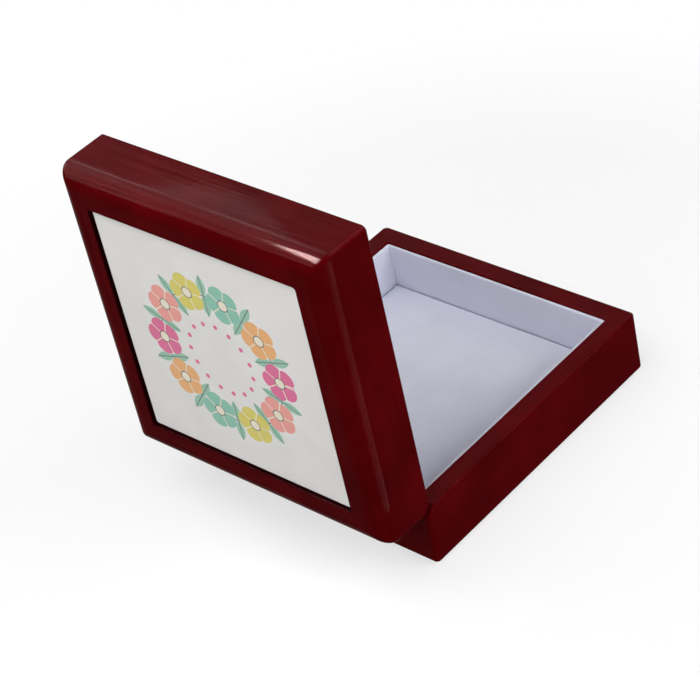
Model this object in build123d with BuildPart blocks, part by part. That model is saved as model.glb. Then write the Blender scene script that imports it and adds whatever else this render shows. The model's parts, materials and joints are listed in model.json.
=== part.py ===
"""Keepsake box: a square lacquered box with an inset ceramic tile in its hinged lid.

Millimetres. The origin is the centre of the underside and +Z is up. The front faces -Y and the
hinges are at the back, so right is +X. The lid is modelled wide open, on the stop of its hinges.

Base and lid are both drawn from their rims. base_rim and lid_rim are planes with x along the
hinges, y towards the back and z away from the rim into the wood, so base_rim hangs upside down
and lid_rim turns with the lid.
"""

import os
from math import sqrt

from build123d import *

# Tile and the lid around it
tile_side = 108.0  # a 4.25 in tile
tile_thickness = 6.0
tile_corner = 1.1  # radius of the upright corners
tile_edge = 1.0  # roundness of the glazed edge
tile_gap = 0.45  # between the tile and its recess
tile_drop = 1.2  # glazed face below the top of the lid
tile_border = 15.45  # wood around the tile, out to the side of the lid
adhesive_thickness = 0.8
adhesive_width = 12.0
adhesive_margin = 14.0  # from the tile's edge to a strip of adhesive

# Wood
board = 8.8  # thickness of the walls and rails
base_height = 28.8
lid_height = 27.0
bottom_panel = 4.8
lid_floor = 3.5  # wood left under the tile
corner_radius = 2.1  # upright corners of the box
lid_round_over = 8.3  # top edges of the lid
round_over_land = 0.5  # flat wood left between the round-over and the lid panel
foot_radius = 1.7  # bottom edges of the base
rim_arris = 0.5  # softening of the rims
recess_arris = 0.4
rim_gap = 0.3  # between the shut lid and the base

# Lining and felt
lining_thickness = 1.6
lining_roll = 1.0  # roundness of the lining's upper edge
lining_drop = 0.5  # lining below the rim
pad_thickness = 2.4
lid_pad_thickness = 2.2
pad_clearance = 0.3
pad_roll = 1.2
pad_corner = 1.5
felt_thickness = 0.8
felt_inset = 3.0
felt_corner = 3.0

# Hinges
lid_opening = 90.0  # degrees, at the stop
hinge_inset = 2.5  # hinge axis in from the back face
hinge_spacing = 80.0  # centre to centre
hinge_length = 20.0
leaf_thickness = 0.8
leaf_margin = 0.7  # wood left between a leaf and the inside of the board
mortise_clearance = 0.15
knuckle_count = 5
knuckle_play = 0.15
pin_radius = 0.55
pin_play = 0.02
pin_chamfer = 0.15
barrel_clearance = 0.15  # between a barrel and the bevels
screw_pitch = 10.0
screw_length = 7.0
screw_tip = 1.5
screw_radius = 0.6
screw_head_radius = 1.15
screw_play = 0.03
slot_width = 0.35
slot_depth = 0.25

# What follows from them
box_side = tile_side + 2 * tile_border
inner_side = box_side - 2 * board
round_over = min(lid_round_over, board - round_over_land)
recess_depth = tile_drop + tile_thickness + adhesive_thickness
lid_panel = recess_depth + lid_floor
barrel_radius = pin_radius + pin_play + leaf_thickness
hinge_bevel = hinge_inset + (barrel_radius + barrel_clearance) * sqrt(2) - rim_gap / 2
leaf_reach = board - hinge_inset - leaf_margin
land_start = hinge_bevel - hinge_inset  # from the hinge axis to the flat of the rim
screw_row = (land_start + leaf_reach) / 2
screw_head_height = screw_head_radius - screw_radius
knuckle_length = hinge_length / knuckle_count

rim_height = felt_thickness + base_height
hinge_y = box_side / 2 - hinge_inset
hinge_height = rim_height + rim_gap / 2
opened = Plane(origin=(0, hinge_y, hinge_height)).rotated((-lid_opening, 0, 0))
base_rim = Plane(origin=(0, 0, rim_height), x_dir=(-1, 0, 0), z_dir=(0, 0, -1))
lid_rim = Plane(
    origin=opened.from_local_coords((0, -hinge_y, rim_gap / 2)),
    x_dir=opened.x_dir,
    z_dir=opened.z_dir,
)

# The direction of each side on base_rim and lid_rim, in degrees
BASE_SIDES = {"front": -90, "left": 0, "back": 90, "right": 180}
LID_SIDES = {"front": -90, "right": 0, "back": 90, "left": 180}
HINGES = {"left": -hinge_spacing / 2, "right": hinge_spacing / 2}


def save(piece, name):
    piece.label = name
    export_step(piece, f"parts/{name}.step")


def depth_axis(rim):
    """The axis along which depths below a rim are measured."""
    return Axis(rim.origin, rim.z_dir)


def square_block(rim, side, start, end):
    """A square block between two depths below a rim."""
    with BuildPart() as block:
        with BuildSketch(rim.offset(start)):
            Rectangle(side, side)
        extrude(amount=end - start)
    return block.part


def wooden_frame(rim, height, far_radius):
    """The walls in one piece: rounded outside, and bevelled along the back rim for the hinges.

    The far edges, which are the foot of the base or the top of the lid, have a radius of their own.
    """
    back_edge = rim.from_local_coords((0, box_side / 2, 0))
    across = Plane(origin=back_edge, x_dir=rim.y_dir, z_dir=rim.x_dir)
    with BuildPart() as frame:
        add(square_block(rim, box_side, 0, height))
        fillet(frame.edges().filter_by(depth_axis(rim)), corner_radius)
        fillet(frame.faces().sort_by(depth_axis(rim))[-1].edges(), far_radius)
        with BuildSketch(rim):
            Rectangle(inner_side, inner_side)
        extrude(until=Until.LAST, mode=Mode.SUBTRACT)
        with BuildSketch(across):
            Rectangle(hinge_bevel * sqrt(2), hinge_bevel * sqrt(2), rotation=45)
        extrude(amount=box_side, both=True, mode=Mode.SUBTRACT)
        fillet(frame.faces().sort_by(depth_axis(rim))[0].edges(), rim_arris)
    return frame.part


def mitred_side(frame, rim, turn):
    """The quarter of a frame that faces one way, cut at 45 degrees at its ends."""
    with BuildPart() as side:
        add(frame)
        with BuildSketch(rim):
            Polygon((0, 0), (box_side, -box_side), (box_side, box_side), rotation=turn, align=None)
        extrude(amount=base_height + lid_height, mode=Mode.INTERSECT)
    return side.part


def lining_ring(rim, depth):
    """Velvet-covered boards around the inside, with a rolled upper edge."""
    with BuildPart() as ring:
        add(square_block(rim, inner_side, lining_drop, depth))
        with BuildSketch(rim):
            Rectangle(inner_side - 2 * lining_thickness, inner_side - 2 * lining_thickness)
        extrude(amount=depth, mode=Mode.SUBTRACT)
        upper_face = ring.faces().sort_by(depth_axis(rim))[0]
        fillet(upper_face.inner_wires()[0].edges(), min(lining_roll, lining_thickness / 2))
    return ring.part


def lining_pad(rim, depth, thickness):
    """The velvet-covered pad that lies between the lining boards, its soft face towards the rim."""
    side = inner_side - 2 * (lining_thickness + pad_clearance)
    with BuildPart() as pad:
        add(square_block(rim, side, depth - thickness, depth))
        fillet(pad.edges().filter_by(depth_axis(rim)), pad_corner)
        soft_face = pad.faces().sort_by(depth_axis(rim))[0]
        fillet(soft_face.edges(), min(pad_roll, thickness / 2))
    return pad.part


def hinge_seat(rim, x):
    """The plane of one hinge on one rim: x along the pin, y onto the rim, z out of the wood."""
    origin = rim.from_local_coords((x, box_side / 2 - hinge_inset, -rim_gap / 2))
    return Plane(origin=origin, x_dir=rim.x_dir, z_dir=-rim.z_dir)


def screw_seats(seat):
    """The planes of a leaf's two screws, at the outer face of the leaf."""
    top = seat.offset(-rim_gap / 2)
    return [
        Plane(origin=top.from_local_coords((x, screw_row, 0)), x_dir=top.x_dir, z_dir=top.z_dir)
        for x in (-screw_pitch / 2, screw_pitch / 2)
    ]


def hinge_cuts(seat):
    """What one hinge takes out of its board: the leaf's mortise and the screws' pilot holes."""
    with BuildPart() as cuts:
        with BuildSketch(seat.offset(-rim_gap / 2 - leaf_thickness)):
            with Locations((0, (leaf_reach + mortise_clearance) / 2)):
                Rectangle(hinge_length + 2 * mortise_clearance, leaf_reach + mortise_clearance)
        extrude(amount=rim_gap + leaf_thickness)
        for screw_seat in screw_seats(seat):
            with BuildSketch(screw_seat):
                Circle(screw_radius + screw_play)
            extrude(amount=-screw_length - screw_play)
    return cuts.part


def hinge_leaf(seat, own_knuckles):
    """A brass leaf: a countersunk plate, with knuckles rolled around the pin at its own places."""
    joint_face = Plane(origin=seat.origin, x_dir=seat.y_dir, z_dir=seat.x_dir)
    plate_start = barrel_radius + knuckle_play
    with BuildPart() as leaf:
        with BuildSketch(seat.offset(-rim_gap / 2 - leaf_thickness)):
            with Locations((0, (plate_start + leaf_reach) / 2)):
                Rectangle(hinge_length, leaf_reach - plate_start)
        extrude(amount=leaf_thickness)
        for knuckle in own_knuckles:
            middle = (knuckle - (knuckle_count - 1) / 2) * knuckle_length
            with BuildSketch(joint_face.offset(middle)):
                Circle(barrel_radius)
                with Locations((plate_start / 2, -(rim_gap + leaf_thickness) / 2)):
                    Rectangle(plate_start, leaf_thickness)
            extrude(amount=(knuckle_length - knuckle_play) / 2, both=True)
        with BuildSketch(joint_face):
            Circle(pin_radius + pin_play)
        extrude(amount=hinge_length, both=True, mode=Mode.SUBTRACT)
        for screw_seat in screw_seats(seat):
            with Locations(screw_seat):
                CounterSinkHole(screw_radius + screw_play, screw_head_radius + screw_play)
    return leaf.part


def hinge_pin(seat):
    joint_face = Plane(origin=seat.origin, x_dir=seat.y_dir, z_dir=seat.x_dir)
    with BuildPart() as pin:
        with BuildSketch(joint_face):
            Circle(pin_radius)
        extrude(amount=hinge_length / 2, both=True)
        chamfer(pin.edges().filter_by(GeomType.CIRCLE), pin_chamfer)
    return pin.part


def wood_screw(screw_seat):
    """A countersunk brass screw with a straight slot."""
    profile_plane = Plane(origin=screw_seat.origin, x_dir=screw_seat.x_dir, z_dir=-screw_seat.y_dir)
    with BuildPart() as screw:
        with BuildSketch(profile_plane):
            with BuildLine():
                Polyline(
                    (0, 0),
                    (screw_head_radius, 0),
                    (screw_radius, -screw_head_height),
                    (screw_radius, screw_tip - screw_length),
                    (0, -screw_length),
                    close=True,
                )
            make_face()
        revolve(axis=Axis(screw_seat.origin, screw_seat.z_dir))
        with BuildSketch(screw_seat):
            Rectangle(2 * screw_head_radius, slot_width)
        extrude(amount=-slot_depth, mode=Mode.SUBTRACT)
    return screw.part


def hinge_screws(rim):
    """All the screws in one rim, as separate solids."""
    with BuildPart() as screws:
        for x in HINGES.values():
            for screw_seat in screw_seats(hinge_seat(rim, x)):
                add(wood_screw(screw_seat))
    return screws.part


def with_hinge_cuts(back_board, rim):
    with BuildPart() as cut_board:
        add(back_board)
        for x in HINGES.values():
            add(hinge_cuts(hinge_seat(rim, x)), mode=Mode.SUBTRACT)
    return cut_board.part


os.makedirs("parts", exist_ok=True)

# Base: walls, bottom panel and felt
base_frame = wooden_frame(base_rim, base_height, foot_radius)
for side_name, turn in BASE_SIDES.items():
    wall = mitred_side(base_frame, base_rim, turn)
    if side_name == "back":
        wall = with_hinge_cuts(wall, base_rim)
    save(wall, f"base_{side_name}_wall")

panel_depth = base_height - bottom_panel
save(square_block(base_rim, inner_side, panel_depth, base_height), "base_bottom_panel")

with BuildPart() as base_felt:
    with BuildSketch():
        RectangleRounded(box_side - 2 * felt_inset, box_side - 2 * felt_inset, felt_corner)
    extrude(amount=felt_thickness)
save(base_felt.part, "base_felt")

# Base: lining
base_lining = lining_ring(base_rim, panel_depth)
for side_name, turn in BASE_SIDES.items():
    save(mitred_side(base_lining, base_rim, turn), f"base_{side_name}_lining")
save(lining_pad(base_rim, panel_depth, pad_thickness), "base_floor_pad")

# Lid: rails
lid_frame = wooden_frame(lid_rim, lid_height, round_over)
for side_name, turn in LID_SIDES.items():
    rail = mitred_side(lid_frame, lid_rim, turn)
    if side_name == "back":
        rail = with_hinge_cuts(rail, lid_rim)
    save(rail, f"lid_{side_name}_rail")

# Lid: panel, tile and adhesive
ceiling_depth = lid_height - lid_panel
recess_side = tile_side + 2 * tile_gap
with BuildPart() as lid_top_panel:
    add(square_block(lid_rim, inner_side, ceiling_depth, lid_height))
    with BuildSketch(lid_rim.offset(lid_height)):
        RectangleRounded(recess_side, recess_side, tile_corner + tile_gap)
    extrude(amount=-recess_depth, mode=Mode.SUBTRACT)
    recess_mouth = lid_top_panel.faces().sort_by(depth_axis(lid_rim))[-1].inner_wires()[0]
    fillet(recess_mouth.edges(), recess_arris)
save(lid_top_panel.part, "lid_top_panel")

tile_back = lid_height - tile_drop - tile_thickness
with BuildPart() as ceramic_tile:
    with BuildSketch(lid_rim.offset(tile_back)):
        RectangleRounded(tile_side, tile_side, tile_corner)
    extrude(amount=tile_thickness)
    fillet(ceramic_tile.faces().sort_by(depth_axis(lid_rim))[-1].edges(), tile_edge)
save(ceramic_tile.part, "ceramic_tile")

strip_length = tile_side - 2 * adhesive_margin
with BuildPart() as tile_adhesive:
    with BuildSketch(lid_rim.offset(tile_back - adhesive_thickness)):
        with GridLocations(strip_length - adhesive_width, 0, 2, 1):
            Rectangle(adhesive_width, strip_length)
    extrude(amount=adhesive_thickness)
save(tile_adhesive.part, "tile_adhesive")

# Lid: lining
lid_lining = lining_ring(lid_rim, ceiling_depth)
for side_name, turn in LID_SIDES.items():
    save(mitred_side(lid_lining, lid_rim, turn), f"lid_{side_name}_lining")
save(lining_pad(lid_rim, ceiling_depth, lid_pad_thickness), "lid_ceiling_pad")

# Hinges
base_knuckles = range(0, knuckle_count, 2)
lid_knuckles = range(1, knuckle_count, 2)
for hinge_name, x in HINGES.items():
    base_seat = hinge_seat(base_rim, -x)
    lid_seat = hinge_seat(lid_rim, x)
    save(hinge_leaf(base_seat, base_knuckles), f"{hinge_name}_hinge_base_leaf")
    save(hinge_leaf(lid_seat, lid_knuckles), f"{hinge_name}_hinge_lid_leaf")
    save(hinge_pin(base_seat), f"{hinge_name}_hinge_pin")
save(hinge_screws(base_rim), "base_hinge_screws")
save(hinge_screws(lid_rim), "lid_hinge_screws")
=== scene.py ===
import json
import math

import bmesh
import bpy
from mathutils import Matrix, Vector, noise


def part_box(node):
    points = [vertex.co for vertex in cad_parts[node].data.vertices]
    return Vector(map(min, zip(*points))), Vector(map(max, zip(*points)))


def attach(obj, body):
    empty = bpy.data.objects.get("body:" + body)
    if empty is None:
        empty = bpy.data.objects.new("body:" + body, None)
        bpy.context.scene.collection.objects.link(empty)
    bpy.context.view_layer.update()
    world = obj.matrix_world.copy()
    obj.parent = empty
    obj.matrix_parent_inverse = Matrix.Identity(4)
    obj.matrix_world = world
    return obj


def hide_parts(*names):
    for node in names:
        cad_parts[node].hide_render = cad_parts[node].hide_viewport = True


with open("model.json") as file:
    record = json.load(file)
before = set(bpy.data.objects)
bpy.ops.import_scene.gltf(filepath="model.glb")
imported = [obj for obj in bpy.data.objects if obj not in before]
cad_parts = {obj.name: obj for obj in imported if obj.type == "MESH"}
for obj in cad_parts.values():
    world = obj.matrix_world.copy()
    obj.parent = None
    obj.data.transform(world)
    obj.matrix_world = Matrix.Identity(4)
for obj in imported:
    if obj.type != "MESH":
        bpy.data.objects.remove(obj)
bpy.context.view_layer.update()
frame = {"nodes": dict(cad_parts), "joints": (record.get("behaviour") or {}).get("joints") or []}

# A keepsake box: red lacquered wood, a velvet lining, and a glazed tile let into the lid.
#
# Lengths are in metres. Base and lid are both drawn from their rims, as a joiner sets them out:
# x runs along the hinges, y towards the hinged back, and the depth goes from the rim into the wood.
MM = 0.001

# ---------------------------------------------------------------- sizes taken from the frame

hinge = frame["joints"][0]
HINGE_AXIS = Vector(hinge["pos_m"])

BASE_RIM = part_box("base_front_wall")[1].z
BASE_DEPTH = BASE_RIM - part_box("base_front_wall")[0].z
LID_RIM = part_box("lid_front_rail")[0].y
LID_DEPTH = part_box("lid_front_rail")[1].y - LID_RIM
OUTER_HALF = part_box("base_right_wall")[1].x
INNER_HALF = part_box("base_bottom_panel")[1].x

BASE_FLOOR = BASE_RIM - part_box("base_bottom_panel")[1].z
LID_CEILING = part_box("lid_top_panel")[0].y - LID_RIM
LINING_TOP = BASE_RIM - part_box("base_front_lining")[1].z
LINING_THICKNESS = INNER_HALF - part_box("base_right_lining")[0].x
PAD_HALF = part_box("base_floor_pad")[1].x
BASE_PAD_FACE = BASE_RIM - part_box("base_floor_pad")[1].z
LID_PAD_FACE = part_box("lid_ceiling_pad")[0].y - LID_RIM

TILE_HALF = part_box("ceramic_tile")[1].x
TILE_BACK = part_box("ceramic_tile")[0].y - LID_RIM
TILE_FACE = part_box("ceramic_tile")[1].y - LID_RIM
TILE_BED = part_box("tile_adhesive")[0].y - LID_RIM

LEAF_INNER_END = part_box("left_hinge_base_leaf")[0].y
FELT_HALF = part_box("base_felt")[1].x
FELT_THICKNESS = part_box("base_felt")[1].z

# ---------------------------------------------------------------- sizes of the finished edges

UPRIGHT_RADIUS = 2.1 * MM
INNER_RADIUS = 1.2 * MM
LID_ROUND_OVER = 8.3 * MM
FOOT_RADIUS = 1.7 * MM
ARRIS = 0.5 * MM
HINGE_BEVEL = 4.5 * MM
LEAF_THICKNESS = 0.8 * MM
MORTISE_PLAY = 0.15 * MM
TILE_PLAY = 0.45 * MM
TILE_CORNER = 1.1 * MM
TILE_EDGE = 1.0 * MM
LINING_PLAY = 0.05 * MM
PAD_ROLL = 1.2 * MM
PAD_CROWN = 0.35 * MM  # the furthest that a point of the cover moves as it swells
PAD_CELLS = 44  # of the cover's grid, along one side
SWELL_FRAMES = 20
FELT_CORNER = 3.0 * MM
FELT_EDGE = 0.35 * MM

# ---------------------------------------------------------------- unevenness of cloth

LINING_WAVE = 16 * MM  # about the width of one hollow in the cloth
LINING_LOOSE = 0.1 * MM  # the furthest that it stands off its board
LINING_PRESSED = 0.2  # share of that by which it may press into the board
PAD_WAVE = 22 * MM
PAD_LOOSE = 0.06 * MM
PAD_BORDER = 8 * MM  # in from the pad's side, where its unevenness is full
FLUFF_WAVE = 2.5 * MM
FLUFF = 0.08 * MM  # how far in the felt's cut edge frays, on the average


def base_point(x, y, depth):
    """A point of the base, given on its rim and by its depth below it."""
    return Vector((x, y, BASE_RIM - depth))


def lid_point(x, y, depth):
    """A point of the open lid, given on the lid's rim and by its depth into the lid."""
    return Vector((x, LID_RIM + depth, HINGE_AXIS.z + HINGE_AXIS.y - y))


def base_place(point):
    """A point of the base as x, y and depth."""
    return Vector((point.x, point.y, BASE_RIM - point.z))


def lid_place(point):
    """A point of the open lid as x, y and depth."""
    return Vector((point.x, HINGE_AXIS.z + HINGE_AXIS.y - point.z, point.y - LID_RIM))


# ---------------------------------------------------------------- mesh helpers


def quarter_turns(steps):
    """The angles of a quarter circle, both ends included."""
    return [math.pi / 2 * step / steps for step in range(steps + 1)]


def rounded_square(half, radius, arc_steps=10, side_steps=1):
    """The outline of a square with rounded corners, with the same count of points for any size."""
    outline = []
    for quarter in range(4):
        heading = quarter * math.pi / 2
        along = Vector((math.cos(heading), math.sin(heading)))
        across = Vector((-along.y, along.x))
        centre = (half - radius) * (along + across)
        arc = [centre + radius * (math.cos(turn) * along + math.sin(turn) * across)
               for turn in quarter_turns(arc_steps)]
        side_end = arc[-1] - 2 * (half - radius) * along
        outline += arc
        outline += [arc[-1].lerp(side_end, step / side_steps) for step in range(1, side_steps)]
    return outline


def skin_over(rings, joined=False):
    """A skin over rings of points. The last ring joins the first, or both are closed by a face."""
    skin = bmesh.new()
    rows = [[skin.verts.new(point) for point in ring] for ring in rings]
    pairs = list(zip(rows, rows[1:]))
    if joined:
        pairs.append((rows[-1], rows[0]))
    else:
        skin.faces.new(rows[0])
        skin.faces.new(rows[-1])
    for lower, upper in pairs:
        for i, vertex in enumerate(lower):
            following = (i + 1) % len(lower)
            skin.faces.new((vertex, lower[following], upper[following], upper[i]))
    return skin


def add_object(skin, name):
    """Makes a bmesh into an object of the scene."""
    bmesh.ops.recalc_face_normals(skin, faces=skin.faces)
    mesh = bpy.data.meshes.new(name)
    skin.to_mesh(mesh)
    skin.free()
    made = bpy.data.objects.new(name, mesh)
    bpy.context.scene.collection.objects.link(made)
    return made


def apply_modifiers(piece):
    """Makes what the modifiers show into the piece's own mesh."""
    depsgraph = bpy.context.evaluated_depsgraph_get()
    mesh = bpy.data.meshes.new_from_object(piece.evaluated_get(depsgraph))
    piece.modifiers.clear()
    piece.data = mesh


def cut_away(piece, cutter):
    """Takes a cutter's shape out of a piece, and removes the cutter."""
    cut = piece.modifiers.new("cut", "BOOLEAN")
    cut.operation = "DIFFERENCE"
    cut.solver = "EXACT"
    cut.object = cutter
    apply_modifiers(piece)
    bpy.data.objects.remove(cutter)


def soften_edges(piece, width, sharpest=math.radians(40)):
    """Rounds the sharp edges of a piece, as sanding and thick lacquer do."""
    soften = piece.modifiers.new("soften", "BEVEL")
    soften.width = width
    soften.segments = 3
    soften.limit_method = "ANGLE"
    soften.angle_limit = sharpest
    apply_modifiers(piece)


def smooth_shading(piece):
    """Shades a piece smoothly, and keeps its broad faces flat beside their rounded edges."""
    piece.data.polygons.foreach_set("use_smooth", [True] * len(piece.data.polygons))
    weigh = piece.modifiers.new("weigh", "WEIGHTED_NORMAL")
    weigh.weight = 80
    apply_modifiers(piece)


def keep_places(piece, to_place):
    """Keeps each point's x, y and depth in millimetres, which grain, pile and print follow."""
    places = piece.data.attributes.new("place_mm", "FLOAT_VECTOR", "POINT")
    for vertex, place in zip(piece.data.vertices, places.data):
        place.vector = to_place(vertex.co) / MM


def dress(piece, material, slot, body, *nodes):
    """Gives a piece its finish, its body and the CAD nodes that it stands for."""
    piece.data.materials.clear()
    piece.data.materials.append(material)
    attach(piece, body)
    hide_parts(*nodes)


# ---------------------------------------------------------------- material helpers


def colour(hex_value):
    """An sRGB hex colour as the linear RGBA that a shader takes."""
    channels = [int(hex_value[i:i + 2], 16) / 255 for i in (1, 3, 5)]
    return [c / 12.92 if c <= 0.04045 else ((c + 0.055) / 1.055) ** 2.4 for c in channels] + [1.0]


def add_node(tree, kind, inputs, **settings):
    """Adds a shader node with its settings and feeds its inputs.

    Inputs go by name, or as a list in the order in which the node shows them. Each is a plain
    value, an output, or a node, which stands for the first output that it shows.
    """
    node = tree.nodes.new("ShaderNode" + kind)
    for name, value in settings.items():
        setattr(node, name, value)
    shown = [socket for socket in node.inputs if socket.enabled]
    if isinstance(inputs, dict):
        by_name = {socket.name: socket for socket in shown}
        fed = [(by_name[name], value) for name, value in inputs.items()]
    else:
        fed = zip(shown, inputs)
    for socket, value in fed:
        if isinstance(value, bpy.types.Node):
            value = next(output for output in value.outputs if output.enabled)
        if isinstance(value, bpy.types.NodeSocket):
            tree.links.new(value, socket)
        else:
            socket.default_value = value
    return node


def new_material(name):
    """An empty material and its node tree."""
    material = bpy.data.materials.new(name)
    material.use_nodes = True
    material.node_tree.nodes.clear()
    return material, material.node_tree


def towards_the_side(tree, place):
    """How far out a place lies towards the nearest side of the box: the larger of x and y."""
    around = add_node(tree, "VectorMath", [place], operation="ABSOLUTE")
    axes = add_node(tree, "SeparateXYZ", [around])
    return add_node(tree, "Math", [axes, axes.outputs["Y"]], operation="MAXIMUM")


# ---------------------------------------------------------------- lacquer

# Millimetres
GRAIN_WIDTH = 1.1  # across a streak of the figure
GRAIN_LENGTH = 55.0  # along it
CLOUD_WIDTH = 30.0  # of the soft clouds where the coat is thicker or thinner
PEEL_WIDTH = 3.5  # between the low waves of thick, polished lacquer
PEEL_DEPTH = 0.006
PAINTED_SHADE_FADES = 0.1  # out from the wall of the tile's recess, where the painted shade on that wall begins to fade
PAINTED_SHADE_GONE = 0.6  # out from it, where the painted shade has gone and the colour is full


def along_the_boards(tree, place):
    """Places in repeats of the wood's figure, which runs along each board.

    The boards meet in mitres, so the larger of x and y tells a side board from a front one.
    """
    axes = add_node(tree, "SeparateXYZ", [place])
    width = add_node(tree, "Math", [axes], operation="ABSOLUTE")
    length = add_node(tree, "Math", [axes.outputs["Y"]], operation="ABSOLUTE")
    on_side = add_node(tree, "Math", [width, length], operation="GREATER_THAN")
    fine, long = 1 / GRAIN_WIDTH, 1 / GRAIN_LENGTH
    front = add_node(tree, "Mapping", {"Vector": place, "Scale": (long, fine, fine)})
    side = add_node(tree, "Mapping", {"Vector": place, "Scale": (fine, long, fine)})
    return add_node(tree, "Mix", [on_side, front, side], data_type="VECTOR")


def red_lacquer():
    """Deep red polyurethane lacquer on close-grained wood, sprayed thick and polished.

    The eye gets a dark, clear red with a wet gloss. The grain is filled, but it still shows as
    faint streaks along each board, and the lacquer lies in long, low waves. The wall of the tile's
    recess gets a painted shade: it is coloured darker to stand in for the shadow in the recess.
    """
    material, tree = new_material("red_lacquer_on_wood")
    place = add_node(tree, "Attribute", {}, attribute_name="place_mm").outputs["Vector"]
    figure = add_node(tree, "TexNoise", {"Vector": along_the_boards(tree, place), "Scale": 1.0,
                                         "Detail": 4.0, "Roughness": 0.62})
    cloud = add_node(tree, "TexNoise", {"Vector": place, "Scale": 1 / CLOUD_WIDTH})
    waves = add_node(tree, "TexNoise", {"Vector": place, "Scale": 1 / PEEL_WIDTH, "Detail": 1.5})
    tone = add_node(tree, "Math", [figure, 0.45, cloud], operation="MULTIPLY_ADD")
    shade = add_node(tree, "MapRange", [tone, 0.45, 1.0])
    lacquer_colour = add_node(tree, "Mix", [shade, colour("#450205"), colour("#5C0409")], data_type="RGBA")
    # Painted shade: the wall of the tile's recess, and a little beyond it, is coloured darker to
    # stand in for its shadow
    recess = (TILE_HALF + TILE_PLAY) / MM
    out_of_painted_shade = add_node(tree, "MapRange", [towards_the_side(tree, place),
                                          recess + PAINTED_SHADE_FADES, recess + PAINTED_SHADE_GONE])
    base = add_node(tree, "Mix", [out_of_painted_shade, colour("#1E0103"), lacquer_colour], data_type="RGBA")
    gloss = add_node(tree, "MapRange", [figure, 0.3, 0.7, 0.02, 0.07])
    shine = add_node(tree, "MapRange", [figure, 0.35, 0.65, 0.002, 0.0045])
    height = add_node(tree, "Math", [figure, 0.25, waves], operation="MULTIPLY_ADD")
    relief = add_node(tree, "Bump", {"Height": height, "Distance": PEEL_DEPTH * MM})
    shader = add_node(tree, "BsdfPrincipled", {
        "Base Color": base,
        "Roughness": gloss,
        "IOR": 1.5,
        "Specular IOR Level": shine,
        "Specular Tint": colour("#FFA8A8"),
        "Normal": relief,
    })
    add_node(tree, "OutputMaterial", [shader])
    return material


# ---------------------------------------------------------------- printed glaze

# Millimetres on the tile
WREATH_RADIUS = 31.0
RING_WIDTH = 0.6
BLOSSOMS = 10
BLOSSOM_RADIUS = 9.0
PETALS = 5
PETAL_NOTCH = 2.2  # how far the gaps between petals reach in
PETAL_LINE = 0.5
BLOSSOM_TURN = 1.9  # radians that each blossom is turned from the one before
BLOSSOM_EYE = 2.3
EYE_LINE = 0.4
LEAF_LENGTH = 10.5
LEAF_WIDTH = 4.4
LEAF_OFFSET = 4.8  # from the ring to the middle of a leaf
LEAF_RIB = 0.35
BERRIES = 15
BERRY_RING = 16.5
BERRY_RADIUS = 1.1
INK_FADE = 0.12  # the soft border of an ink that was fired into the glaze
MOTTLE_WIDTH = 18.0  # of the patches in which the white differs a little
WAVE_WIDTH = 9.0  # of the waves in the fired glaze
WAVE_DEPTH = 0.02
THIN_BORDER = 1.6  # in from the tile's side, where the glaze begins to thin
THIN_EDGE = 0.2  # and where it is thinnest
GREYED_AT_EDGE = 0.35  # share of the body's grey that shows there

WHITE_GLAZE = "#F8F6F3"
MOTTLED_GLAZE = "#F3F1EE"
THIN_GLAZE = "#C9C6C2"
ROSE, APRICOT, MINT, STRAW, CORAL = "#ED6C9E", "#FAB974", "#8FCEB8", "#E8DA66", "#FBA79C"
BLOSSOM_INKS = [ROSE, APRICOT, MINT, STRAW, CORAL]
LEAF_INK = "#9CCFB4"
LINE_INK = "#56575B"
CREAM_INK = "#FCF3DC"


def lay_ink(tree, under, ink, distance, edge):
    """Prints an ink over a colour where a distance is less than an edge."""
    cover = add_node(tree, "MapRange", [distance, edge - INK_FADE, edge + INK_FADE, 1.0, 0.0])
    return add_node(tree, "Mix", [cover, under, ink], data_type="RGBA")


def share_sectors(tree, flat, count, radius, start=0.0):
    """Places measured from the middle of the motif in their own sector, and the sector's number.

    The plane is cut into equal sectors, and each is turned onto the x axis, with its motif's
    middle at the given radius.
    """
    axes = add_node(tree, "SeparateXYZ", [flat])
    angle = add_node(tree, "Math", [axes.outputs["Y"], axes], operation="ARCTAN2")
    sectors = add_node(tree, "Math", [angle, count / math.tau, start], operation="MULTIPLY_ADD")
    number = add_node(tree, "Math", [sectors], operation="ROUND")
    bearing = add_node(tree, "Math", [number, -math.tau / count, start * math.tau / count],
                       operation="MULTIPLY_ADD")
    turned = add_node(tree, "VectorRotate", {"Vector": flat, "Angle": bearing},
                      rotation_type="Z_AXIS")
    return add_node(tree, "VectorMath", [turned, (radius, 0, 0)], operation="SUBTRACT"), number


def print_leaves(tree, flat, printed):
    """Pairs of pointed leaves with a rib, across the ring between the blossoms."""
    for offset in (-LEAF_OFFSET, LEAF_OFFSET):
        local, _ = share_sectors(tree, flat, BLOSSOMS, WREATH_RADIUS + offset, start=0.5)
        axes = add_node(tree, "SeparateXYZ", [local])
        sideways = add_node(tree, "Math", [axes.outputs["Y"]], operation="ABSOLUTE")
        squared = add_node(tree, "Math", [axes, axes], operation="MULTIPLY")
        bowed = add_node(tree, "Math", [squared, 2 * LEAF_WIDTH / LEAF_LENGTH ** 2, sideways],
                         operation="MULTIPLY_ADD")
        leaf = lay_ink(tree, colour(LEAF_INK), colour(LINE_INK), sideways, LEAF_RIB / 2)
        printed = lay_ink(tree, printed, leaf, bowed, LEAF_WIDTH / 2)
    return printed


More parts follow.
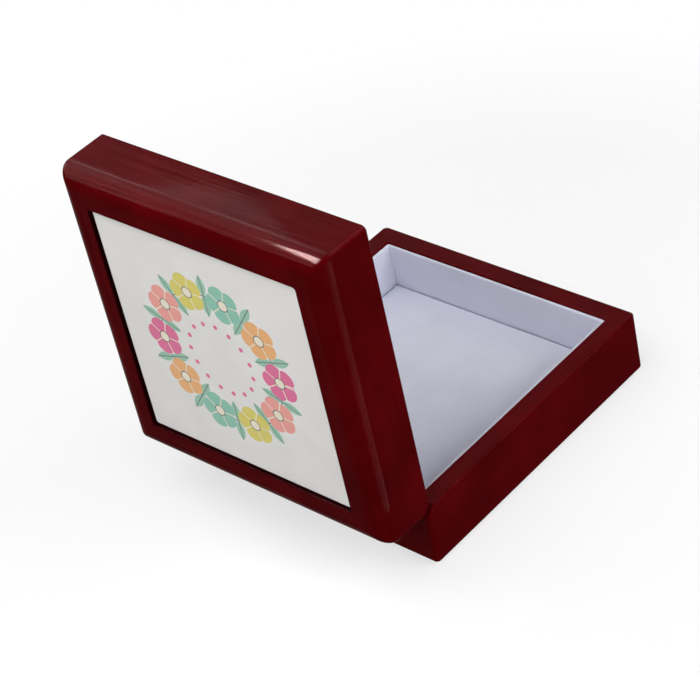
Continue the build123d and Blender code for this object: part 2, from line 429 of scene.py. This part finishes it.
def blossom_inks(tree, number):
    """The ink of a blossom, by its number around the ring."""
    turn = add_node(tree, "Math", [number, len(BLOSSOM_INKS)], operation="FLOORED_MODULO")
    share = add_node(tree, "Math", [turn, len(BLOSSOM_INKS)], operation="DIVIDE")
    inks = add_node(tree, "ValToRGB", [share])
    ramp = inks.color_ramp
    ramp.interpolation = "CONSTANT"
    while len(ramp.elements) < len(BLOSSOM_INKS):
        ramp.elements.new(1.0)
    for i, ink in enumerate(BLOSSOM_INKS):
        ramp.elements[i].position = max(0.0, (i - 0.5) / len(BLOSSOM_INKS))
        ramp.elements[i].color = colour(ink)
    return inks


def print_blossoms(tree, flat, printed):
    """Five-petalled blossoms around the ring, each in the next ink."""
    local, number = share_sectors(tree, flat, BLOSSOMS, WREATH_RADIUS)
    reach = add_node(tree, "VectorMath", [local], operation="LENGTH")
    axes = add_node(tree, "SeparateXYZ", [local])
    angle = add_node(tree, "Math", [axes.outputs["Y"], axes], operation="ARCTAN2")
    bearing = add_node(tree, "Math", [number, BLOSSOM_TURN, angle], operation="MULTIPLY_ADD")
    half_turns = add_node(tree, "Math", [bearing, PETALS / 2], operation="MULTIPLY")
    wave = add_node(tree, "Math", [half_turns], operation="COSINE")
    lobe = add_node(tree, "Math", [wave], operation="ABSOLUTE")
    blunt_lobe = add_node(tree, "Math", [lobe, 0.55], operation="POWER")
    off_gap = add_node(tree, "Math", [lobe, reach], operation="MULTIPLY")
    blossom = lay_ink(tree, blossom_inks(tree, number), colour(CREAM_INK), off_gap,
                      PETAL_LINE * PETALS / 4)
    blossom = lay_ink(tree, blossom, colour(LINE_INK), reach, BLOSSOM_EYE + EYE_LINE)
    blossom = lay_ink(tree, blossom, colour(CREAM_INK), reach, BLOSSOM_EYE)
    notched = add_node(tree, "Math", [blunt_lobe, -PETAL_NOTCH, reach], operation="MULTIPLY_ADD")
    return lay_ink(tree, printed, blossom, notched, BLOSSOM_RADIUS - PETAL_NOTCH)


def print_wreath(tree, place, ground):
    """A wreath of blossoms, leaves and berries on a thin ring, in flat pastel inks."""
    flat = add_node(tree, "VectorMath", [place, (1, 1, 0)], operation="MULTIPLY")
    radius = add_node(tree, "VectorMath", [flat], operation="LENGTH")
    beside_ring = add_node(tree, "Math", [radius, WREATH_RADIUS], operation="SUBTRACT")
    off_ring = add_node(tree, "Math", [beside_ring], operation="ABSOLUTE")
    printed = lay_ink(tree, ground, colour(LINE_INK), off_ring, RING_WIDTH / 2)
    printed = print_leaves(tree, flat, printed)
    printed = print_blossoms(tree, flat, printed)
    berry, _ = share_sectors(tree, flat, BERRIES, BERRY_RING)
    off_berry = add_node(tree, "VectorMath", [berry], operation="LENGTH")
    return lay_ink(tree, printed, colour(ROSE), off_berry, BERRY_RADIUS)


def printed_glaze():
    """A white-glazed earthenware tile with a pastel transfer print fired into the glaze.

    The eye gets a cool, even white with soft reflections. The glaze thins at the edges, where the
    body greys it, and pools in low waves.
    """
    material, tree = new_material("white_glaze_with_print")
    place = add_node(tree, "Attribute", {}, attribute_name="place_mm").outputs["Vector"]
    mottle = add_node(tree, "TexNoise", {"Vector": place, "Scale": 1 / MOTTLE_WIDTH,
                                         "Detail": 5.0})
    evenness = add_node(tree, "MapRange", [mottle, 0.35, 0.65])
    ground = add_node(tree, "Mix", [evenness, colour(MOTTLED_GLAZE), colour(WHITE_GLAZE)],
                      data_type="RGBA")
    printed = print_wreath(tree, place, ground)
    half = TILE_HALF / MM
    thinness = add_node(tree, "MapRange", [towards_the_side(tree, place), half - THIN_BORDER,
                                           half - THIN_EDGE, 0.0, GREYED_AT_EDGE],
                        interpolation_type="SMOOTHSTEP")
    glazed = add_node(tree, "Mix", [thinness, printed, colour(THIN_GLAZE)], data_type="RGBA")
    gloss = add_node(tree, "MapRange", [mottle, 0.3, 0.7, 0.13, 0.2])
    waves = add_node(tree, "TexNoise", {"Vector": place, "Scale": 1 / WAVE_WIDTH})
    relief = add_node(tree, "Bump", {"Height": waves, "Distance": WAVE_DEPTH * MM})
    shader = add_node(tree, "BsdfPrincipled", {
        "Base Color": glazed,
        "Roughness": gloss,
        "IOR": 1.5,
        "Specular IOR Level": 0.3,
        "Normal": relief,
    })
    add_node(tree, "OutputMaterial", [shader])
    return material


# ---------------------------------------------------------------- cloth, metal and tape

# Millimetres
PILE_WIDTH = 0.45  # velvet's own tufts are finer, and are drawn as coarse as they show
PILE_DEPTH = 0.07
NAP_WIDTH = 16.0  # of the patches where the pile lies another way
FIBRE_WIDTH = 0.6  # between the clumps of fibre that show on felt
FIBRE_DEPTH = 0.25
BUFFING_WIDTH = 0.1  # between the fine lines that a buffing wheel leaves
BUFFING_DEPTH = 0.004
BUFFING_STRETCH = 20  # how many times longer than wide those lines are
TARNISH_WIDTH = 1 / 0.35  # of the patches that have dulled
TUMBLED_RADIUS = 0.12  # of edges that were tumbled in a barrel
FOAM_CELL = 0.4
FOAM_DEPTH = 0.08


def pale_velvet():
    """Pale grey-blue rayon velvet, woven with a short pile and glued over card and foam.

    The eye gets a matt, powdery surface that is lighter at a slant, with faint patches where the
    pile lies another way.
    """
    material, tree = new_material("grey_blue_velvet")
    place = add_node(tree, "Attribute", {}, attribute_name="place_mm").outputs["Vector"]
    pile = add_node(tree, "TexNoise", {"Vector": place, "Scale": 1 / PILE_WIDTH, "Roughness": 0.7})
    nap = add_node(tree, "TexNoise", {"Vector": place, "Scale": 1 / NAP_WIDTH, "Detail": 3.0})
    lie = add_node(tree, "Math", [pile, 0.5, nap], operation="MULTIPLY_ADD")
    shade = add_node(tree, "MapRange", [lie, 0.45, 1.05])
    base = add_node(tree, "Mix", [shade, colour("#CDCEDC"), colour("#D5D6E5")], data_type="RGBA")
    relief = add_node(tree, "Bump", {"Height": pile, "Distance": PILE_DEPTH * MM})
    shader = add_node(tree, "BsdfPrincipled", {
        "Base Color": base,
        "Roughness": 0.95,
        "Specular IOR Level": 0.05,
        "Sheen Weight": 0.35,
        "Sheen Roughness": 0.45,
        "Sheen Tint": colour("#E8EAF6"),
        "Normal": relief,
    })
    add_node(tree, "OutputMaterial", [shader])
    return material


def black_felt():
    """Black wool felt, pressed and not woven: matt fibres that lie every way."""
    material, tree = new_material("black_wool_felt")
    place = add_node(tree, "Attribute", {}, attribute_name="place_mm").outputs["Vector"]
    fibres = add_node(tree, "TexNoise", {"Vector": place, "Scale": 1 / FIBRE_WIDTH, "Detail": 5.0,
                                         "Roughness": 0.7, "Distortion": 1.5})
    base = add_node(tree, "Mix", [fibres, colour("#0B0B0C"), colour("#26262A")], data_type="RGBA")
    relief = add_node(tree, "Bump", {"Height": fibres, "Distance": FIBRE_DEPTH * MM})
    shader = add_node(tree, "BsdfPrincipled", {
        "Base Color": base,
        "Roughness": 1.0,
        "Specular IOR Level": 0.1,
        "Sheen Weight": 0.2,
        "Sheen Roughness": 0.6,
        "Normal": relief,
    })
    add_node(tree, "OutputMaterial", [shader])
    return material


def polished_brass():
    """Stamped and rolled brass, barrel-polished: warm yellow, with fine lines and soft edges."""
    material, tree = new_material("polished_brass")
    place = add_node(tree, "NewGeometry", {})
    buffed = add_node(tree, "Mapping", {"Vector": place, "Scale": (1 / BUFFING_STRETCH, 1, 1)})
    lines = add_node(tree, "TexNoise", {"Vector": buffed, "Scale": 1 / (BUFFING_WIDTH * MM),
                                        "Detail": 3.0})
    tarnish = add_node(tree, "TexNoise", {"Vector": place, "Scale": 1 / (TARNISH_WIDTH * MM),
                                          "Detail": 4.0})
    dulled = add_node(tree, "MapRange", [tarnish, 0.4, 0.75])
    base = add_node(tree, "Mix", [dulled, colour("#D9B36A"), colour("#A8813F")], data_type="RGBA")
    gloss = add_node(tree, "MapRange", [lines, 0.3, 0.7, 0.18, 0.36])
    edges = add_node(tree, "Bevel", {"Radius": TUMBLED_RADIUS * MM}, samples=6)
    relief = add_node(tree, "Bump", {"Height": lines, "Distance": BUFFING_DEPTH * MM,
                                     "Normal": edges})
    shader = add_node(tree, "BsdfPrincipled", {
        "Base Color": base,
        "Metallic": 1.0,
        "Roughness": gloss,
        "Normal": relief,
    })
    add_node(tree, "OutputMaterial", [shader])
    return material


def foam_tape():
    """White foam mounting tape: matt, with the small open cells of its cut edges."""
    material, tree = new_material("white_foam_tape")
    place = add_node(tree, "NewGeometry", {})
    cells = add_node(tree, "TexVoronoi", {"Vector": place, "Scale": 1 / (FOAM_CELL * MM)})
    skin = add_node(tree, "MapRange", [cells, 0.1, 0.7])
    base = add_node(tree, "Mix", [skin, colour("#C9C8C2"), colour("#E6E5DF")], data_type="RGBA")
    relief = add_node(tree, "Bump", {"Height": cells, "Distance": FOAM_DEPTH * MM})
    shader = add_node(tree, "BsdfPrincipled", {
        "Base Color": base,
        "Roughness": 0.85,
        "Specular IOR Level": 0.2,
        "Normal": relief,
    })
    add_node(tree, "OutputMaterial", [shader])
    return material


lacquer = red_lacquer()
glaze = printed_glaze()
velvet = pale_velvet()
felt = black_felt()
brass = polished_brass()
tape = foam_tape()

SIDES = ("front", "back", "left", "right")

# ---------------------------------------------------------------- lacquered wood


def wooden_body(name, to_point, rings, joined):
    """A skin over rings that are given as inset from the outer face, depth and corner radius."""
    outlines = [[to_point(x, y, depth) for x, y in rounded_square(OUTER_HALF - inset, radius)]
                for inset, depth, radius in rings]
    return add_object(skin_over(outlines, joined), name)


def bevel_bar(to_point):
    """A square bar on edge along the back rim. What it cuts away leaves the bevel at the hinges."""
    corners = [(OUTER_HALF - HINGE_BEVEL, 0), (OUTER_HALF, HINGE_BEVEL),
               (OUTER_HALF + HINGE_BEVEL, 0), (OUTER_HALF, -HINGE_BEVEL)]
    ends = [[to_point(x, y, depth) for y, depth in corners]
            for x in (-2 * OUTER_HALF, 2 * OUTER_HALF)]
    return add_object(skin_over(ends), "bevel_bar")


def mortise_block(to_point, leaf):
    """A block the size of a leaf's bed, from the leaf's inner end out through the bevel."""
    low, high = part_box(leaf)
    left, right = low.x - MORTISE_PLAY, high.x + MORTISE_PLAY
    inner, outer = LEAF_INNER_END - MORTISE_PLAY, OUTER_HALF
    corners = [(left, inner), (right, inner), (right, outer), (left, outer)]
    ends = [[to_point(x, y, depth) for x, y in corners]
            for depth in (-LEAF_THICKNESS, LEAF_THICKNESS)]
    return add_object(skin_over(ends), "mortise_block")


def seat_hinges(piece, to_point, leaves):
    """Bevels the back rim, softens every edge, and cuts the beds of the leaves."""
    cut_away(piece, bevel_bar(to_point))
    soften_edges(piece, ARRIS)
    for leaf in leaves:
        cut_away(piece, mortise_block(to_point, leaf))
    smooth_shading(piece)


def base_box():
    """The four walls of the base under one skin of lacquer."""
    wall = OUTER_HALF - INNER_HALF
    rings = [(wall, BASE_DEPTH, INNER_RADIUS), (wall, 0, INNER_RADIUS), (0, 0, UPRIGHT_RADIUS)]
    for turn in quarter_turns(6):
        inset = FOOT_RADIUS * (1 - math.cos(turn))
        depth = BASE_DEPTH - FOOT_RADIUS * (1 - math.sin(turn))
        rings.append((inset, depth, UPRIGHT_RADIUS - 0.8 * inset))
    piece = wooden_body("base_box", base_point, rings, joined=True)
    seat_hinges(piece, base_point, ["left_hinge_base_leaf", "right_hinge_base_leaf"])
    keep_places(piece, base_place)
    dress(piece, lacquer, "lacquered_wood", "base", *[f"base_{side}_wall" for side in SIDES])


def lid_box():
    """The lid's rails and panel under one skin of lacquer, with the recess for the tile."""
    wall = OUTER_HALF - INNER_HALF
    rings = [(wall, LID_CEILING, INNER_RADIUS), (wall, 0, INNER_RADIUS), (0, 0, UPRIGHT_RADIUS)]
    for turn in quarter_turns(24):
        inset = LID_ROUND_OVER * (1 - math.cos(turn))
        depth = LID_DEPTH - LID_ROUND_OVER * (1 - math.sin(turn))
        rings.append((inset, depth, UPRIGHT_RADIUS * (1 - 0.35 * inset / LID_ROUND_OVER)))
    recess = OUTER_HALF - TILE_HALF - TILE_PLAY
    rings.append((recess, LID_DEPTH, TILE_CORNER + TILE_PLAY))
    rings.append((recess, TILE_BED, TILE_CORNER + TILE_PLAY))
    piece = wooden_body("lid_box", lid_point, rings, joined=False)
    seat_hinges(piece, lid_point, ["left_hinge_lid_leaf", "right_hinge_lid_leaf"])
    keep_places(piece, lid_place)
    dress(piece, lacquer, "lacquered_wood", "lid",
          *[f"lid_{side}_rail" for side in SIDES], "lid_top_panel")


base_box()
lid_box()

# ---------------------------------------------------------------- tile


def printed_tile():
    """The tile: a square slab whose glaze runs over soft edges."""
    rings = [(0, TILE_BACK)]
    for turn in quarter_turns(8):
        inset = TILE_EDGE * (1 - math.cos(turn))
        rings.append((inset, TILE_FACE - TILE_EDGE * (1 - math.sin(turn))))
    rings.append((6 * TILE_EDGE, TILE_FACE))
    outlines = [[lid_point(x, y, depth) for x, y in rounded_square(TILE_HALF - inset, TILE_CORNER)]
                for inset, depth in rings]
    piece = add_object(skin_over(outlines), "printed_tile")
    smooth_shading(piece)
    keep_places(piece, lid_place)
    dress(piece, glaze, "glazed_tile", "lid", "ceramic_tile")


printed_tile()

# ---------------------------------------------------------------- velvet


def waviness(place, size, seed):
    """Smooth unevenness from -1 to 1 over a distance."""
    return noise.noise(place / size + Vector((seed, 3.7 * seed, 0)))


def velvet_sides(name, body, to_point, to_place, floor, seed):
    """Velvet wrapped over boards around the inside: a rolled upper edge, then down to the pad."""
    outer = INNER_HALF - LINING_PLAY
    thickness = LINING_THICKNESS - LINING_PLAY
    roll = thickness / 2
    start = LINING_TOP + roll
    profile = [(0, floor), (0, start)]
    profile += [(roll - roll * math.cos(2 * turn), start - roll * math.sin(2 * turn))
                for turn in quarter_turns(10)]
    levels = 9
    profile += [(thickness, start + (floor - start) * step / levels)
                for step in range(1, levels + 1)]
    outlines = []
    for inset, depth in profile:
        corner = INNER_RADIUS * (1 - 0.5 * inset / thickness)
        outline = rounded_square(outer - inset, corner, arc_steps=6, side_steps=36)
        # The cloth is a little uneven over its board, least at the roll and at the foot
        loose = math.sin(math.pi * (depth - LINING_TOP) / (floor - LINING_TOP)) * inset / thickness
        for point in outline:
            uneven = waviness(Vector((*point, depth)), LINING_WAVE, seed)
            point -= point.normalized() * LINING_LOOSE * loose * max(uneven, -LINING_PRESSED)
        outlines.append([to_point(x, y, depth) for x, y in outline])
    piece = add_object(skin_over(outlines, joined=True), name)
    smooth_shading(piece)
    keep_places(piece, to_place)
    dress(piece, velvet, "velvet_lining", body, *[f"{body}_{side}_lining" for side in SIDES])


def pad_skin(to_point, face, back):
    """A square pad as a cloth wrapped over it: a fine grid whose margin turns down all round."""
    flat = PAD_HALF - PAD_ROLL
    skirt = back - face - PAD_ROLL
    wrap = PAD_ROLL * math.pi / 2
    margin = [wrap * step / 4 for step in range(1, 5)] + [wrap + skirt / 2, wrap + skirt]
    lines = [-flat - m for m in reversed(margin)]
    lines += [-flat + 2 * flat * step / PAD_CELLS for step in range(PAD_CELLS + 1)]
    lines += [flat + m for m in margin]
    skin = bmesh.new()
    rows = []
    for v in lines:
        row = []
        for u in lines:
            kept = Vector((min(max(u, -flat), flat), min(max(v, -flat), flat)))
            over = Vector((u, v)) - kept
            run = min(over.length, wrap + skirt)
            turn = min(run, wrap) / PAD_ROLL
            place = kept + over.normalized() * PAD_ROLL * math.sin(turn)
            depth = face + PAD_ROLL * (1 - math.cos(turn)) + max(0, run - wrap)
            row.append(skin.verts.new(to_point(*place, depth)))
        rows.append(row)
    for lower, upper in zip(rows, rows[1:]):
        for i in range(len(lower) - 1):
            skin.faces.new((lower[i], lower[i + 1], upper[i + 1], upper[i]))
    bmesh.ops.remove_doubles(skin, verts=skin.verts, dist=0.002 * MM)
    rim = [edge for edge in skin.edges if edge.is_boundary]
    bmesh.ops.contextual_create(skin, geom=rim)
    return skin


def swell(piece, to_place, face):
    """Blows the cover up a little from inside, as foam does, with its foot held fast."""
    rest = [vertex.co.copy() for vertex in piece.data.vertices]
    held = piece.vertex_groups.new(name="held")
    foot = [i for i, point in enumerate(rest) if to_place(point).z > face + 0.8 * PAD_ROLL]
    held.add(foot, 1.0, "REPLACE")
    cloth = piece.modifiers.new("swell", "CLOTH")
    cloth.settings.vertex_group_mass = held.name
    cloth.settings.use_pressure = True
    cloth.settings.uniform_pressure_force = 1.2
    cloth.settings.tension_stiffness = 40
    cloth.settings.bending_stiffness = 2
    cloth.settings.effector_weights.gravity = 0
    for step in range(1, SWELL_FRAMES + 1):
        bpy.context.scene.frame_set(step)
    apply_modifiers(piece)
    bpy.context.scene.frame_set(1)
    for vertex, start in zip(piece.data.vertices, rest):
        move = vertex.co - start
        vertex.co = start + move * min(1.0, PAD_CROWN / max(move.length, 1e-9))


def velvet_pad(name, body, to_point, to_place, face, back, seed, node):
    """The velvet-covered foam pad of the floor or the ceiling, a little crowned and uneven."""
    piece = add_object(pad_skin(to_point, face, back), name)
    swell(piece, to_place, face)
    out = to_point(0, 0, -1) - to_point(0, 0, 0)
    for vertex in piece.data.vertices:
        place = to_place(vertex.co)
        inland = min(1.0, (PAD_HALF - max(abs(place.x), abs(place.y))) / PAD_BORDER)
        if place.z < face + PAD_ROLL and inland > 0:
            uneven = waviness(Vector((place.x, place.y, 0)), PAD_WAVE, seed)
            vertex.co += out * inland * PAD_LOOSE * uneven
    piece.data.polygons.foreach_set("use_smooth", [True] * len(piece.data.polygons))
    keep_places(piece, to_place)
    dress(piece, velvet, "velvet_lining", body, node)


velvet_sides("base_velvet_sides", "base", base_point, base_place, BASE_FLOOR, 1)
velvet_sides("lid_velvet_sides", "lid", lid_point, lid_place, LID_CEILING, 2)
velvet_pad("base_velvet_pad", "base", base_point, base_place, BASE_PAD_FACE, BASE_FLOOR, 3,
           "base_floor_pad")
velvet_pad("lid_velvet_pad", "lid", lid_point, lid_place, LID_PAD_FACE, LID_CEILING, 4,
           "lid_ceiling_pad")

# ---------------------------------------------------------------- felt, brass and tape


def felt_sheet():
    """The felt under the base, whose cut edges have fluffed round."""
    rings = [(FELT_EDGE, 0), (0, FELT_EDGE), (0, FELT_THICKNESS - FELT_EDGE / 2),
             (FELT_EDGE / 2, FELT_THICKNESS)]
    outlines = []
    for inset, height in rings:
        outline = rounded_square(FELT_HALF - inset, FELT_CORNER, arc_steps=8, side_steps=60)
        for point in outline:
            fluff = waviness(Vector((*point, 0)), FLUFF_WAVE, 5)
            point -= point.normalized() * FLUFF * (1 + fluff)
        outlines.append([Vector((x, y, height)) for x, y in outline])
    piece = add_object(skin_over(outlines), "felt_sheet")
    smooth_shading(piece)
    keep_places(piece, base_place)
    dress(piece, felt, "base_felt", "base", "base_felt")


def finish_cad_nodes():
    """The hinges, their screws, the tape and the hidden bottom keep their own shapes."""
    finishes = {name: brass for name in frame["nodes"] if "hinge" in name}
    finishes["tile_adhesive"] = tape
    finishes["base_bottom_panel"] = lacquer
    for name, material in finishes.items():
        mesh = frame["nodes"][name].data
        mesh.materials.clear()
        mesh.materials.append(material)


felt_sheet()
finish_cad_nodes()

# ---------------------------------------------------------------- camera, lamps and floor

# What the lamps are aimed at
LID_CORNER = lid_point(-OUTER_HALF, -OUTER_HALF, LID_DEPTH)
LID_EDGE = lid_point(0, -OUTER_HALF, LID_DEPTH / 2)
LID_SIDE = Vector((-OUTER_HALF, LID_RIM + LID_DEPTH - LID_ROUND_OVER, OUTER_HALF))
BOX_MIDDLE = Vector((0, 0.02, 0.05))

CAMERA_PLACE = Vector((-616.2, 559.7, 672.4)) * MM
CAMERA_AZIMUTH = math.radians(229.133)
CAMERA_ELEVATION = math.radians(36.907)
CAMERA_ROLL = math.radians(13.533)
SENSOR_WIDTH = 36.0  # millimetres
FOCAL_PIXELS = 2504.03
WIDTH_PIXELS = 700

# Metres
SHADOW_REACH = 0.2  # from the middle of the box
PLAIN_WHITE = 0.3  # from it, where the paper has faded to white
FLOOR_HALF = 6.0

PAPER_GLOW = 0.65  # share of plain white in the paper, which makes the shadow paler
FILL = 0.17  # strength of the world on matt surfaces


def add_camera():
    """The camera, aimed by its azimuth and elevation and then rolled about its axis."""
    forward = Vector((-math.sin(CAMERA_AZIMUTH) * math.cos(CAMERA_ELEVATION),
                      math.cos(CAMERA_AZIMUTH) * math.cos(CAMERA_ELEVATION),
                      -math.sin(CAMERA_ELEVATION)))
    level = forward.cross(Vector((0, 0, 1))).normalized()
    below = forward.cross(level)
    right = math.cos(CAMERA_ROLL) * level + math.sin(CAMERA_ROLL) * below
    down = math.cos(CAMERA_ROLL) * below - math.sin(CAMERA_ROLL) * level
    lens = bpy.data.cameras.new("camera")
    lens.sensor_width = SENSOR_WIDTH
    lens.sensor_fit = "HORIZONTAL"
    lens.lens = FOCAL_PIXELS * SENSOR_WIDTH / WIDTH_PIXELS
    lens.clip_start = 0.01
    camera = bpy.data.objects.new("camera", lens)
    axes = Matrix((right, -down, -forward)).transposed().to_4x4()
    camera.matrix_world = Matrix.Translation(CAMERA_PLACE) @ axes
    bpy.context.scene.collection.objects.link(camera)
    bpy.context.scene.camera = camera


def add_lamp(name, target, direction, distance, size, radiance, lie=(0, 0, 1), shape="RECTANGLE"):
    """A flat lamp that faces a target; at radiance 1 it looks as bright as a white wall.

    Its second side lies as near as it can to the direction that lie gives.
    """
    data = bpy.data.lights.new(name, "AREA")
    data.shape = shape
    data.size, data.size_y = size
    area = size[0] * size[1] * (math.pi / 4 if shape == "ELLIPSE" else 1)
    data.energy = radiance * math.pi * area
    lamp = bpy.data.objects.new(name, data)
    back = Vector(direction).normalized()
    side = Vector(lie).cross(back).normalized()
    axes = Matrix((side, back.cross(side), back)).transposed().to_4x4()
    lamp.matrix_world = Matrix.Translation(target + distance * back) @ axes
    bpy.context.scene.collection.objects.link(lamp)
    return lamp


def seen_rays(tree):
    """1 on the rays that the eye sees by: straight, mirrored or through glass."""
    rays = add_node(tree, "LightPath", {}).outputs
    straight = add_node(tree, "Math", [rays["Is Camera Ray"], rays["Is Transmission Ray"]],
                        operation="MAXIMUM")
    return add_node(tree, "Math", [straight, rays["Is Glossy Ray"]], operation="MAXIMUM")


def add_floor():
    """A wide sheet of pale paper that fades to plain white away from the box and its shadow."""
    skin = bmesh.new()
    bmesh.ops.create_grid(skin, x_segments=1, y_segments=1, size=FLOOR_HALF)
    floor = add_object(skin, "floor")
    material, tree = new_material("pale_paper")
    paper = add_node(tree, "BsdfPrincipled", {
        "Base Color": colour("#F6F6F6"),
        "Roughness": 0.9,
        "Specular IOR Level": 0.1,
    })
    place = add_node(tree, "NewGeometry", {}).outputs["Position"]
    distance = add_node(tree, "VectorMath", [place], operation="LENGTH").outputs["Value"]
    away = add_node(tree, "MapRange", [distance, SHADOW_REACH, PLAIN_WHITE, PAPER_GLOW, 1])
    share = add_node(tree, "Math", [away, seen_rays(tree)], operation="MULTIPLY")
    white = add_node(tree, "Emission", [(1, 1, 1, 1), 1.0])
    shader = add_node(tree, "MixShader", [share, paper, white])
    add_node(tree, "OutputMaterial", [shader])
    floor.data.materials.append(material)
    floor.visible_diffuse = False


def add_world():
    """White all round for the eye and for reflections, and a dimmer fill for matt surfaces."""
    world = bpy.data.worlds.new("studio")
    bpy.context.scene.world = world
    world.use_nodes = True
    tree = world.node_tree
    tree.nodes.clear()
    strength = add_node(tree, "MapRange", [seen_rays(tree), 0, 1, FILL, 1])
    background = add_node(tree, "Background", [(1, 1, 1, 1), strength])
    add_node(tree, "OutputWorld", [background])


def add_softboxes():
    """The lamps that light the box: from above, from its left and from behind it."""
    add_lamp("overhead_softbox", LID_EDGE, (0.0, 0.38, 0.92), 0.6, (0.5, 0.5), 3.3)
    add_lamp("left_softbox", BOX_MIDDLE, (-0.84, -0.2, 0.48), 1.5, (1.4, 0.9), 4.0)
    add_lamp("back_softbox", BOX_MIDDLE, (-0.2, 0.93, 0.3), 1.5, (1.0, 1.0), 2.4)


def add_windows():
    """Windows and a card that stand for a room: they add to the gloss, not to the diffuse light.

    The low window fills the upper wall of the open lid, and the round one makes a brighter patch
    in it. The tall and the high window lie along the rounding beside that wall. The front window
    draws the thin lines on the arrises, the strip the sharp highlight at the lid's corner, and the
    card the line down the lid's side.
    """
    windows = [
        add_lamp("low_window", LID_EDGE, (0.66, -0.5, 0.55), 1.5, (0.9, 0.9), 6.5),
        add_lamp("tall_window", LID_EDGE, (0.777, 0.107, 0.621), 1.52, (1.76, 1.72), 30,
                 lie=(-0.452, 0.781, 0.431)),
        add_lamp("round_window", LID_EDGE, (0.651, -0.484, 0.585), 1.8, (0.22, 0.22), 15,
                 shape="ELLIPSE"),
        add_lamp("high_window", LID_EDGE, (0.74, 0.3, 0.6), 1.5, (0.9, 1.4), 25, lie=(0, 1, 0)),
        add_lamp("front_window", LID_EDGE, (-0.4, -0.54, 0.74), 1.5, (1.8, 0.5), 60,
                 lie=(0, 1, 0)),
        add_lamp("window_strip", LID_CORNER, (0.611, 0.321, 0.711), 1.0, (0.07, 0.49), 2000,
                 lie=(-0.097, 0.917, -0.394)),
        add_lamp("standing_card", LID_SIDE, (-1, -0.03, 0), 0.05, (0.04, 0.14), 18),
    ]
    for window in windows:
        window.visible_diffuse = False
        window.visible_camera = False


add_camera()
add_world()
add_floor()
add_softboxes()
add_windows()
bpy.context.scene.view_settings.view_transform = "Standard"
